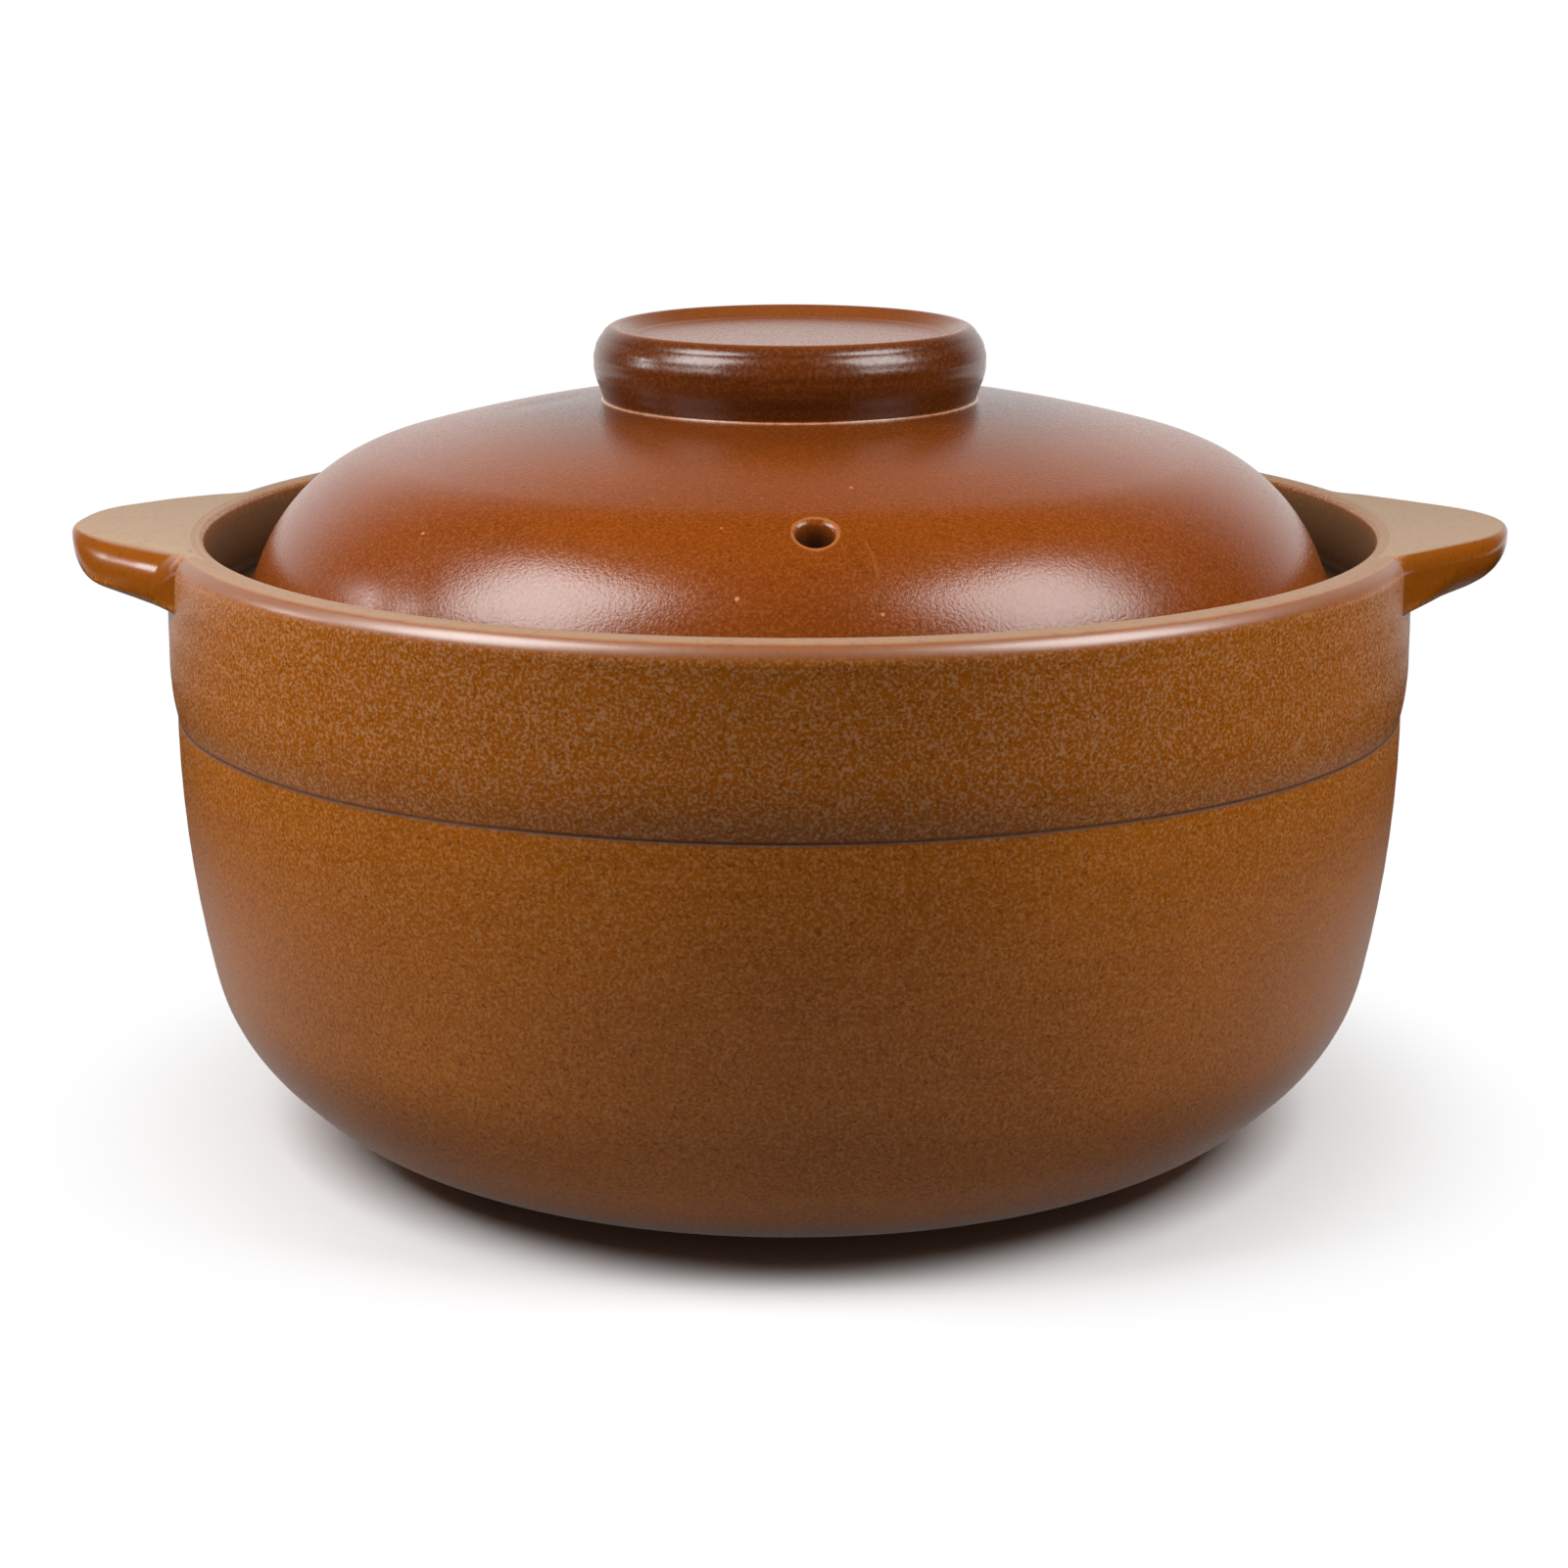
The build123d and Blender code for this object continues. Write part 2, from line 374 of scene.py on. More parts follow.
potGlaze = {
    "main": paint(168, 91, 8),
    "deep": paint(148, 78, 6),
    "bandTone": paint(176, 100, 14),
    "speck": paint(222, 164, 104),
    "dark": paint(104, 54, 6),
    # a darker tone on the lip's outer round and the ears' edges: painted shade, which keeps these rounds,
    # that face the lamps, from rendering lighter than the collar
    "edgeShade": paint(120, 62, 12),
    # the line's colour is painted shade, laid in the incised line and in the creases under the ears
    "line": paint(70, 40, 22),
    "within": paint(112, 82, 48),
    "bare": paint(157, 131, 107),
    "bareDark": paint(136, 110, 86),
    "worn": paint(196, 146, 98),
    "toneShare": 0.6,  # how much of a colour shows where its mask is full
    "bandShare": 0.25,
    "collarShare": 0.5,
    "edgeShare": 0.75,
    "darkShare": 0.55,
    "speckShare": 0.28,
    "collarSpeck": 0.04,  # more specks on the collar
    "scratchShare": 0.35,
    "wornShare": 0.25,
    "lineShare": 0.9,
    "withinShare": 0.9,
    "bareDarkShare": 0.6,
    "grainSize": 1700.0,
    "grainShift": 0.0,
    "toneSize": 19.0,
    "wearSize": 300.0,
    "scratchSize": 34.0,
    "scratchWidth": 0.010,
    "collarFrom": (0.0815, 0.0825),  # metres
    "gloss": (0.26, 0.40),
    "earGloss": 0.19,
    "lipGloss": 0.3,
    "dullGloss": 0.8,
    "dullShare": 0.8,  # of the inside and the line
    "lipCoat": 0.6,
    "coatGloss": 0.5,
    "coatIndex": 1.95,
    "skinStrength": 0.5,
    "skinDepth": 0.0003,
    "wallSkin": 0.2,
    "collarSkin": 0.1,  # more skin on the collar
    "mirror": 0.45,  # strength of the plain reflection
}


def makePotGlaze(look):
    material, tree, shader = newMaterial("potGlaze")
    grain, tone, wear = glazeGroups(tree, look)
    light, dark = grain.outputs["Light"], grain.outputs["Dark"]
    bare, inside, line = (pieceMask(tree, label) for label in ("bare", "inside", "recess"))
    shine, sheen = pieceMask(tree, "shine"), pieceMask(tree, "sheen")
    plain = rest(tree, shine)
    height = addNode(tree, "ShaderNodeSeparateXYZ", {0: objectPlace(tree)}).outputs[2]
    collar = times(tree, fitRange(tree, height, *look["collarFrom"]), plain)
    specks = sums(tree, "MULTIPLY_ADD", collar, look["collarSpeck"], times(tree, plain, look["speckShare"]))
    bareTone = layPaint(tree, look["bare"], [(dark, look["bareDarkShare"], look["bareDark"])])
    colour = layPaint(tree, look["main"], [
        (tone.outputs["Tone"], look["toneShare"], look["deep"]),
        (tone.outputs["Band"], look["bandShare"], look["bandTone"]),
        (collar, look["collarShare"], look["deep"]),
        # painted shade on the lip's round and the ears' edges
        (shine, look["edgeShare"], look["edgeShade"]),
        (dark, look["darkShare"], look["dark"]),
        (light, specks, look["speck"]),
        (times(tree, scratchLines(tree, look), collar), look["scratchShare"], look["worn"]),
        (wear.outputs["Wear"], look["wornShare"], look["worn"]),
        # painted shade in the incised line and in the ears' creases
        (line, look["lineShare"], look["line"]),
        (inside, look["withinShare"], look["within"]),
        (bare, 1.0, bareTone),
    ])
    # the edges of the ears are glossier, and the lip a little; the line, the inside and bare clay are dull
    rough = fitRange(tree, shine, 0.0, 1.0, grainRough(tree, grain, look), look["earGloss"])
    rough = fitRange(tree, sheen, 0.0, 1.0, rough, look["lipGloss"])
    dull = larger(tree, bare, times(tree, larger(tree, inside, line), look["dullShare"]))
    rough = fitRange(tree, dull, 0.0, 1.0, rough, look["dullGloss"])
    # specks of the collar that stand up a little, and the lip, catch the light as a dull second gloss
    sparkle = larger(tree, times(tree, light, collar), times(tree, sheen, look["lipCoat"]))
    tree.links.new(times(tree, sparkle, rest(tree, dull)), shader.inputs["Coat Weight"])
    shader.inputs["Coat Roughness"].default_value = look["coatGloss"]
    shader.inputs["Coat IOR"].default_value = look["coatIndex"]
    raised = sums(tree, "MULTIPLY_ADD", collar, look["collarSkin"], look["wallSkin"])
    skin = times(tree, times(tree, grain.outputs["Height"], raised), plain)
    finishGlaze(tree, shader, look, colour, rough, skin)
    return material


lidGlaze = {
    "main": paint(122, 57, 7),
    "deep": paint(110, 49, 6),
    "bandTone": paint(126, 59, 8),
    "speck": paint(160, 84, 34),
    "dark": paint(80, 36, 10),
    # painted shade inside the vent's bore, darkest towards its bottom
    "bore": paint(44, 22, 9),
    "chip": paint(186, 124, 78),
    "worn": paint(178, 112, 62),
    "toneShare": 0.5,
    "bandShare": 0.2,
    "darkShare": 0.42,
    "speckShare": 0.3,
    "scratchShare": 0.16,
    "boreShare": 0.8,
    "wornShare": 0.5,
    "grainSize": 1800.0,
    "grainShift": 0.4,
    "toneSize": 26.0,
    "wearSize": 420.0,
    "scratchSize": 17.0,
    "scratchWidth": 0.005,
    "chipSpread": 85.0,
    "chipSize": (0.044, 0.022),  # share of a cell where a chip ends and where it is full
    "gloss": (0.20, 0.29),
    "skinStrength": 0.18,
    "skinDepth": 0.0003,
    "mirror": 0.45,
}


def makeLidGlaze(look):
    material, tree, shader = newMaterial("lidGlaze")
    grain, tone, wear = glazeGroups(tree, look)
    # a few tiny chips, where a cell's middle lies in the surface
    cells = addNode(tree, "ShaderNodeTexVoronoi", {"Vector": objectPlace(tree), "Scale": look["chipSpread"]})
    chips = fitRange(tree, cells.outputs["Distance"], *look["chipSize"])
    colour = layPaint(tree, look["main"], [
        (tone.outputs["Tone"], look["toneShare"], look["deep"]),
        (tone.outputs["Band"], look["bandShare"], look["bandTone"]),
        (grain.outputs["Dark"], look["darkShare"], look["dark"]),
        (grain.outputs["Light"], look["speckShare"], look["speck"]),
        (chips, 1.0, look["chip"]),
        (scratchLines(tree, look), look["scratchShare"], look["chip"]),
        # painted shade in the vent's bore, and round the foot of the knob
        (pieceMask(tree, "recess"), look["boreShare"], look["bore"]),
        (wear.outputs["Wear"], look["wornShare"], look["worn"]),
    ])
    finishGlaze(tree, shader, look, colour, grainRough(tree, grain, look), grain.outputs["Height"])
    return material


# The knob's colours: the lid's glaze painted darker, a painted shade over the whole knob.
knobGlaze = {
    "main": paint(92, 42, 8),
    "deep": paint(74, 32, 6),
    "bandTone": paint(94, 44, 9),
    "speck": paint(150, 86, 44),
    "dark": paint(44, 20, 7),
    # worn: pale worn glaze on the crest, and a painted highlight round the foot of the knob
    "worn": paint(192, 136, 100),
    # a lighter tone on the knob's dish: painted light, where the upturned dish catches the lamps
    "dish": paint(158, 88, 42),
    "toneShare": 0.5,
    "bandShare": 0.3,
    "darkShare": 0.3,
    "speckShare": 0.14,
    "grooveShare": 0.7,
    "dishShare": 0.35,
    "wornShare": 0.75,
    "grainSize": 1600.0,
    "grainShift": 0.8,
    "toneSize": 40.0,
    "wearSize": 500.0,
    "gloss": (0.21, 0.30),
    "skinStrength": 0.08,
    "skinDepth": 0.0003,
    "mirror": 0.5,
}


def makeKnobGlaze(look):
    material, tree, shader = newMaterial("knobGlaze")
    grain, tone, wear = glazeGroups(tree, look)
    colour = layPaint(tree, look["main"], [
        (tone.outputs["Tone"], look["toneShare"], look["deep"]),
        (tone.outputs["Band"], look["bandShare"], look["bandTone"]),
        (grain.outputs["Dark"], look["darkShare"], look["dark"]),
        (grain.outputs["Light"], look["speckShare"], look["speck"]),
        # painted shade in the groove under the crest
        (pieceMask(tree, "recess"), look["grooveShare"], look["dark"]),
        # painted light on the dish
        (pieceMask(tree, "dish"), look["dishShare"], look["dish"]),
        (wear.outputs["Wear"], look["wornShare"], look["worn"]),
    ])
    finishGlaze(tree, shader, look, colour, grainRough(tree, grain, look), grain.outputs["Height"])
    return material


potMaterial = makePotGlaze(potGlaze)
lidMaterial = makeLidGlaze(lidGlaze)
knobMaterial = makeKnobGlaze(knobGlaze)
print("materials made")


lip = {"from": 111, "to": 114, "wave": [(3, 0.7, 0, 0.08)]}  # waves here and below: count, start, lean, size


# The lip of the bowl and the ears isn't quite level: a slow wave of the angle that comes in just below it.
def lipRise(height, angle):
    return ease(height, lip["from"], lip["to"]) * waves(angle, lip["wave"])


bowl = {
    "columns": 320,
    "start": (0, 1.2),
    "outside": [
        (55.6, 0, 8), (0, -45, 1), (1.7, 0, 1), (0, 45, 1), (9.7, 0, 3),  # foot hollow and ring
        arcRun(42, 43.58), (3.99, 0, 1.5), arcRun(36, 34.19),  # heel and turn
        arcRun(228.0, 11.735, 1.6),  # wall
        arcRun(228.0, 0.5, 0.1), (0.6, 0, 0.1), (0, -12.94, 1), arcRun(43.3, 2.0, 0.12),  # incised line
        arcRun(43.3, 10.94, 1.0), (19.0, 0, 1.3),  # easing out to the collar
        arcRun(3.6, 90, 0.3), (1.8, 0, 0.6),  # lip
    ],
    "inside": [
        arcRun(1.2, 90, 0.3), (10.3, 0, 2), arcRun(1.5, -90, 0.4),  # mouth
        (11.5, 0, 3), arcRun(1.5, 90, 0.4), (2.94, 0, 1.5),  # ledge and its nose
        arcRun(1.5, 40.7, 0.4), (15.66, 0, 4), arcRun(10, -41.7, 2),  # throat
        arcRun(221.0, -11.24, 3), arcRun(29, -34.19, 2), (3.99, 0, 2),  # wall and turn
        arcRun(35, -43.58, 3), (62.5, 0, 9),  # heel and floor
    ],
    "wallHeights": (3, 30),  # where the waves come in
    "wallRadii": (100, 108),
    "oval": [(2, 0.6, 0, 0.22), (3, 1.9, 1 / 45, 0.11), (5, 0, -1 / 30, 0.066)],
    "ovalFade": (114, 8),  # round again at this height, over so much
    "ringPitch": 6.4,
    "ringDepth": 0.015,
    "ringSway": [(1, 0.4, 0, 0.9)],
    "lineHeight": 81.4,
    "lineWave": [(2, 2.2, 0, 0.1), (9, 0, 0, 0.05)],
    "lineRadius": 110,  # the line lies outside this
    "lineWidth": 0.28,
    "lineDepth": 0.17,
    "lineDrift": [(7, 1, 0, 0.16), (19, 0, 0, 0.1)],
    # painted shade of the incised line: how far below the line it is centred, and its width
    "lineShadeLow": 0.12,
    "lineShadeWidth": 1.35,  # times the line's
    "bareHeights": (113.45, 113.9),
    "bareRadius": 113.7,
    "bareShare": 0.7,
    "wornHeight": (113.7, 0.35),  # middle and width
    "wornRadius": (113.0, 0.9),
    "insideFrom": (113.6, 1.5),  # height, and how far below it the inside's colour is full
    "shineHeights": (110.4, 112.4),
}


# The turned bowl: its outline carried round the axis, with radius + slow waves of the angle, faint throwing
# rings as a sine of the height, and the incised line as a bell-shaped dip whose depth drifts with the angle.
def makeBowl(look):
    outline = walkOutline(look["start"], look["outside"] + look["inside"])
    outer = len(walkOutline(look["start"], look["outside"]))
    angle = allRound(look["columns"])
    radius, height = outline[1:, :1], outline[1:, 1:]
    outside = (np.arange(1, len(outline)) < outer)[:, None]
    wall = outside * ease(height, *look["wallHeights"]) * ease(radius, *look["wallRadii"])
    roundAt, fade = look["ovalFade"]
    oval = waves(angle, look["oval"], height) * ease(roundAt - height, 0, fade)
    rings = turningRings(height, look["ringPitch"], waves(angle, look["ringSway"]))
    lineOff = height - look["lineHeight"] - waves(angle, look["lineWave"])
    lined = outside * (radius > look["lineRadius"])
    dip = lined * bell(lineOff, 0, look["lineWidth"])
    # painted shade in the incised line, wider than the dip and centred a little below it, so that its lit
    # lower edge also reads dark
    lineShade = lined * bell(lineOff, -look["lineShadeLow"], look["lineShadeWidth"] * look["lineWidth"])
    shaped = radius + wall * (oval + look["ringDepth"] * rings)
    shaped = shaped - look["lineDepth"] * (1 + waves(angle, look["lineDrift"])) * dip
    lifted = height + outside * lipRise(height, angle)
    bare = look["bareShare"] * ease(height, *look["bareHeights"]) * (radius < look["bareRadius"])
    worn = outside * bell(height, *look["wornHeight"]) * bell(radius, *look["wornRadius"])
    insideTop, insideFade = look["insideFrom"]
    within = (1 - outside) * ease(insideTop - height, 0, insideFade)
    # the lip's outer round: glossier, with a coat, and darkened by painted shade
    shine = outside * ease(height, *look["shineHeights"])
    masks = {"bare": bare, "edge": worn, "recess": lineShade, "inside": within, "shine": shine, "sheen": shine}
    grid = turnedPoints(shaped, lifted, angle)
    putTurned("bowlShell", grid, endsOf(outline), masks, potMaterial, "pot_bowl", "pot")


makeBowl(bowl)


ear = {
    "steps": 161,
    "flatSteps": 13,
    "firstStep": 0.002,  # of a straight stretch: small, so that the shading beyond it stays flat
    "roundSteps": 9,
    "reach": 133.75,
    "tipRound": 27.0,
    "flank": 45.0,
    "blend": 22.0,
    "root": 114.4,
    "collar": 115.0,
    "top": 114.015,
    "inner": 110.7,
    "lipRound": 3.6,
    "edgeRound": 1.0,
    "edgeFade": 3,  # how far out the lip's round goes over to the edge's
    "leastTop": 0.4,
    "leastSide": 0.1,
    "flankRound": (7.6, 1.6),  # front and back
    "flankSwell": (0.6, 2.6),
    "flankTurn": (0.026, 0.157),  # where the tip goes over to the flank
    "swellFade": (0.5, 7),
    "lowAtCollar": 103.17,
    "rise": 0.1934,
    "underRound": 5.4,
    "underShare": 0.62,  # of the reach from the collar, where that is less
    "creaseRound": 1.8,
    "creaseShare": 0.3,
    "leastRound": 0.02,
    "tuck": 0.12,  # the crease ends this far inside the collar
    "tuckTurn": (1.2, 1.57),
    "sink": 2.4,
    "innerDrop": 2,
    "bareEdge": (-0.14, -0.06),  # of the edge's round, below the top
    # painted shade along the crease where the ear meets the collar: its width, how high it reaches, and its
    # share
    "creaseWidth": 1.0,
    "creaseRise": 1,
    "creaseDark": 0.6,
    "shineIn": 1.5,
    "shineUp": 2,
}


# The ear's rim in plan, as a radius over the angle from its middle: a round tip, a straight flank and a
# hollow blend that runs out inside the collar, each the crossing of a ray with its circle or line.
def earRim(look, angle):
    side = np.abs(angle)
    tipRound, blend = look["tipRound"], look["blend"]
    tipAt = look["reach"] - tipRound
    flank = math.radians(look["flank"])
    offset = tipAt * math.cos(flank) + tipRound
    blendAt = look["root"] + blend
    end = flank - math.acos((offset + blend) / blendAt)
    tip = tipAt * np.cos(side) + np.sqrt(np.maximum(tipRound ** 2 - (tipAt * np.sin(side)) ** 2, 0))
    straight = offset / np.cos(flank - side)
    chord = np.sqrt(np.maximum(blend ** 2 - (blendAt * np.sin(side - end)) ** 2, 0))
    hollow = blendAt * np.cos(side - end) - chord
    tipEnd = math.atan2(tipRound * math.sin(flank), tipAt + tipRound * math.cos(flank))
    flankAcross = blendAt * math.sin(end) - blend * math.sin(flank)
    flankOut = blendAt * math.cos(end) - blend * math.cos(flank)
    flankEnd = math.atan2(flankAcross, flankOut)
    return np.where(side < tipEnd, tip, np.where(side < flankEnd, straight, hollow)), end


# The wing ear: at each angle a closed section of radius and height, out along the flat top, over a quarter
# round, down the edge, round under, back along the rising underside and through a hollow crease into the
# collar. The rounds are r sin t and r cos t, the straight stretches go by shares of their length.
def makeEar(name, node, facing, look):
    _, end = earRim(look, np.zeros(1))
    angle = np.linspace(-end, end, look["steps"])[:, None]
    rim, _ = earRim(look, angle)
    top, collar, inner, lipRound = look["top"], look["collar"], look["inner"], look["lipRound"]
    turn = np.linspace(0, np.pi / 2, look["roundSteps"])[None]
    share = np.append(0, np.linspace(look["firstStep"], 1, look["flatSteps"]))[None]

    def low(radius):  # the underside's height at a radius
        return look["lowAtCollar"] + look["rise"] * (radius - collar)

    ahead = np.sin(angle + facing) < 0
    flank = ease(np.abs(angle), *look["flankTurn"])
    rim = rim + np.where(ahead, *look["flankSwell"]) * flank * ease(rim - collar, *look["swellFade"])
    out = rim - collar
    under = np.clip(look["underShare"] * out, look["leastRound"], look["underRound"])
    crease = np.clip(look["creaseShare"] * out, look["leastRound"], look["creaseRound"])
    edge = look["edgeRound"] + (np.where(ahead, *look["flankRound"]) - look["edgeRound"]) * flank
    edge = lipRound + (edge - lipRound) * ease(out, 0, look["edgeFade"])
    edge = np.minimum(edge, rim - inner - look["leastTop"])
    sideHigh = top - edge
    sideLow = np.minimum(low(rim) + under, sideHigh - look["leastSide"])
    foot = low(rim - under)
    backR = rim - under + (collar + crease - rim + under) * share
    creaseR = collar + crease - crease * np.sin(turn) - look["tuck"] * ease(turn, *look["tuckTurn"])
    creaseZ = low(collar + crease) - crease * (1 - np.cos(turn))
    # radius and height of each stretch of the section; a stretch begins where the last one ended
    stretches = [
        (inner + (rim - edge - inner) * share, top),
        (rim - edge + edge * np.sin(turn), sideHigh + edge * np.cos(turn)),
        (rim + 0 * share, sideHigh + (sideLow - sideHigh) * share),
        (rim - under + under * np.cos(turn), foot + (sideLow - foot) * (1 - np.sin(turn))),
        (backR, low(backR)),
        (creaseR, creaseZ),
    ]
    stretches = [np.broadcast_arrays(*pair) for pair in stretches]
    insideR = np.hstack([creaseR[:, -1:] - look["sink"], inner + 0 * rim])
    insideZ = np.hstack([creaseZ[:, -1:], top - look["innerDrop"] + 0 * rim])
    radius = np.hstack([stretches[0][0]] + [part[:, 1:] for part, _ in stretches[1:]] + [insideR])
    height = np.hstack([stretches[0][1]] + [part[:, 1:] for _, part in stretches[1:]] + [insideZ])
    onTop = np.arange(radius.shape[1])[None] < share.size + turn.size - 1
    bareFrom, bareTo = look["bareEdge"]
    bare = onTop * ease(height - top, bareFrom * edge, bareTo * edge)
    # painted shade in the hollow crease under the ear, in the colour of the incised line
    creased = bell(radius, collar, look["creaseWidth"]) * (height < low(collar) + look["creaseRise"])
    creased = look["creaseDark"] * creased
    # the ear's face: glossier, and darkened by painted shade
    shine = ease(height, low(rim), low(rim) + look["shineUp"])
    shine = shine * ease(radius, collar - look["shineIn"], collar)
    masks = {"bare": bare, "edge": 0, "recess": creased, "inside": 0, "shine": shine, "sheen": 0}
    grid = turnedPoints(radius, height + lipRise(height, angle + facing), angle + facing)
    ends = grid[[0, -1]].mean(axis=1)
    putTurned(name, grid, ends, masks, potMaterial, node, "pot")


makeEar("earLeft", "left_ear", math.pi, ear)
earRight = {**ear, "flankRound": (3.4, 2.2), "flankSwell": (0.3, 0.3)}  # its front edge is crisper
makeEar("earRight", "right_ear", 0.0, earRight)


dome = {
    "columns": 400,
    "start": (0, 133.1),
    "inside": [
        arcRun(269.35, -15.97, 4), arcRun(28, -51.97, 1.5), (4.92, 0, 1.5),  # crown, shoulder and skirt
        arcRun(1.2, 67.94, 0.3), (2.49, 0, 0.8),  # foot
    ],
    "outside": [
        arcRun(2.5, 112.06, 0.4), (4.65, 0, 1.2), arcRun(34.5, 51.97, 1.3),  # foot, skirt and shoulder
        arcRun(275.85, 8.46, 1.4), (0, 7.51, 1), (32.0, 0, 6),  # crown, and the land under the knob
    ],
    "fineSpacing": 0.05,
    "footRows": 12,  # rows at the foot that aren't searched for the vent
    "ventRadius": 82.4,
    "ventTurn": 2.8,  # degrees to the right of the front
    "boreRadius": 3.3,
    "rimRound": 0.85,
    "innerRound": 0.5,
    "squash": 0.89,  # of the hole in plan, towards the axis
    "patch": 6.6,  # half the side of the square of cells round the vent
    "patchGap": 0.5,
    "cells": 16,  # in half the side
    "holeCells": 7,
    "roundSteps": 8,
    "boreSteps": 9,
    # the bore's painted shade
    "boreDark": (5, 9),  # rings of the bore where its dark begins and is full
    "wornOut": 0.5,  # the worn ring lies this far outside the bore, on the outer face
    "wornWidth": 0.5,
    "wornAbove": 122,
    "dents": [(-46.0, 6.0, 0.35, 6.5), (-66.0, -70.0, 0.3, 5.0)],  # x, y, depth, width
    "dentFree": 36.2,  # no dent within this radius, where the knob stands
    "knobShadeRadii": (66, 40),  # where the painted shade round the knob begins and is full
    "knobShadeAbove": 131.5,
    "knobShadeShare": 0.5,
}


# Moves the grid round the vent in plan: a point whose largest cell count from the middle is m goes along its
# ray to hole + (m - m0) / (1 - m0) (border - hole), so the square hole becomes a circle and the border of
# the patch stays where it is.
def openVent(look, alongside, outward, count, hole):
    share = look["holeCells"] / look["cells"]
    outward = outward / look["squash"]
    reach = np.hypot(alongside, outward)
    border = reach / np.maximum(count, tiny)
    target = hole + (count - share) / (1 - share) * (border - hole)
    factor = np.where((count >= share - tiny) & (count < 1), target / np.maximum(reach, tiny), 1)
    return alongside * factor, outward * factor * look["squash"]


# The bore as rings of points from the outer face to the inner one: a round that draws the ring in by r sin t
# as it sinks by r (1 - cos t), the straight bore, and the like round at the inner face.
def ventRings(look, outerFlat, innerFlat, axis, slope):
    bore, rimRound, innerRound = look["boreRadius"], look["rimRound"], look["innerRound"]
    swing = np.linspace(0, np.pi / 2, look["roundSteps"])[1:, None]
    way = (outerFlat[:, :2] - axis) / (bore + rimRound)
    radial = way @ (axis / look["ventRadius"])
    drawn, lowDrawn = rimRound * np.sin(swing), innerRound * np.sin(swing[::-1])
    topZ = outerFlat[:, 2] - slope * drawn * radial - rimRound * (1 - np.cos(swing))
    lowZ = innerFlat[:, 2] - slope * lowDrawn * radial + innerRound * (1 - np.cos(swing[::-1]))
    part = np.linspace(0, 1, look["boreSteps"])[1:-1, None]
    ringR = np.vstack([bore + rimRound - drawn, bore + 0 * part, bore + innerRound - lowDrawn])
    ringZ = np.vstack([topZ, topZ[-1] + (lowZ[0] - topZ[-1]) * part, lowZ])
    return np.dstack([axis[0] + ringR * way[:, 0], axis[1] + ringR * way[:, 1], ringZ])


